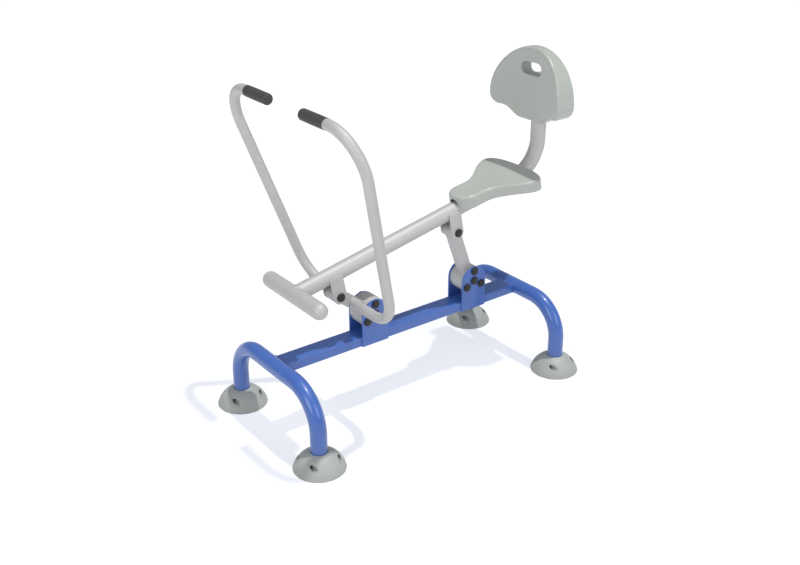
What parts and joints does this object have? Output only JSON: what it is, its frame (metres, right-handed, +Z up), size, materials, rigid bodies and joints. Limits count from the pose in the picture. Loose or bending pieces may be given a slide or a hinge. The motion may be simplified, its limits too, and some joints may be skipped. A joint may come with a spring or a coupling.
{
  "type": "outdoor rower",
  "caption": "Public-park rowing machine with a blue two-hoop floor frame, a bent silver pull handle with dark grips, a sliding seat frame with a foot bar, and a grey moulded seat and backrest.",
  "frame": {"origin": "On the floor at the centre of the rectangle of the four feet, which is also the centre of the outermost anchor holes", "axes": "+X from the foot bar end towards the seat back, +Y to the far side (right of someone sitting on the seat and facing the handles), +Z up; the part is symmetric about Y = 0 except for its bolt heads and nuts"},
  "size_m": [1.3718, 0.8246, 1.25],
  "materials": {
    "blue_paint": "blue powder coat, smooth, satin",
    "silver_paint": "silver-grey powder coat, satin",
    "grey_moulding": "moulded plastic, light grey-green, matt",
    "black_plastic": "black moulded plastic, satin",
    "dark_rubber": "dark grey rubber, matt",
    "zinc_steel": "zinc-plated steel",
    "bearing_steel": "ground bearing steel"
  },
  "bodies": {
    "base": {"front_hoop": "blue_paint", "rear_hoop": "blue_paint", "main_beam": "blue_paint", "foot_plates": "zinc_steel", "foot_cover_front_near": "grey_moulding", "foot_cover_front_far": "grey_moulding", "foot_cover_rear_near": "grey_moulding", "foot_cover_rear_far": "grey_moulding", "front_hub_plates": "blue_paint", "rear_hub_plates": "blue_paint", "axle_bolts": "zinc_steel", "axle_sleeves": "zinc_steel", "hub_spacers": "zinc_steel", "bearing_inner_rings": "bearing_steel", "stop_bolts": "zinc_steel", "stop_sleeves": "dark_rubber", "hub_nuts": "zinc_steel", "hub_caps": "black_plastic"},
    "handle_frame": {"front_drum_shell": "silver_paint", "front_drum_discs": "silver_paint", "front_bearing_tube": "silver_paint", "front_bearing_outer_rings": "bearing_steel", "front_bearing_balls": "bearing_steel", "crank_arm": "silver_paint", "crank_boss": "silver_paint", "crank_bushes": "black_plastic", "handle_tube": "silver_paint", "grip_spigots": "zinc_steel", "grip_near": "dark_rubber", "grip_far": "dark_rubber"},
    "rear_link": {"rear_drum_shell": "silver_paint", "rear_drum_discs": "silver_paint", "rear_bearing_tube": "silver_paint", "rear_bearing_outer_rings": "bearing_steel", "rear_bearing_balls": "bearing_steel", "link_tube": "silver_paint", "link_boss": "silver_paint", "link_bushes": "black_plastic"},
    "seat_frame": {"seat_tube": "silver_paint", "foot_bar": "silver_paint", "foot_bar_ends": "silver_paint", "front_lug_plates": "silver_paint", "rear_lug_plates": "silver_paint", "lug_pins": "zinc_steel", "lug_nuts": "zinc_steel", "lug_caps": "black_plastic", "seat_bracket": "silver_paint", "seat_bolts": "zinc_steel", "seat": "grey_moulding", "backrest": "grey_moulding", "backrest_bolts": "zinc_steel", "post_plug": "black_plastic"}
  },
  "joints": [
    {"name": "handle_swing", "type": "hinge", "parent": "base", "child": "handle_frame", "pos_m": [-0.16, 0, 0.3789], "axis": [0, 1, 0], "range_deg": [0, 30]},
    {"name": "link_swing", "type": "hinge", "parent": "base", "child": "rear_link", "pos_m": [0.3183, 0, 0.3789], "axis": [0, 1, 0], "range_deg": [0, 19.8]},
    {"name": "seat_tilt", "type": "hinge", "parent": "handle_frame", "child": "seat_frame", "pos_m": [-0.30502, 0, 0.48706], "axis": [0, 1, 0], "range_deg": [-25.4, 0]}
  ],
  "couplings": [
    {"joint": "link_swing", "follows": "handle_swing", "ratio": 0.6562},
    {"joint": "seat_tilt", "follows": "handle_swing", "ratio": -0.84337}
  ]
}
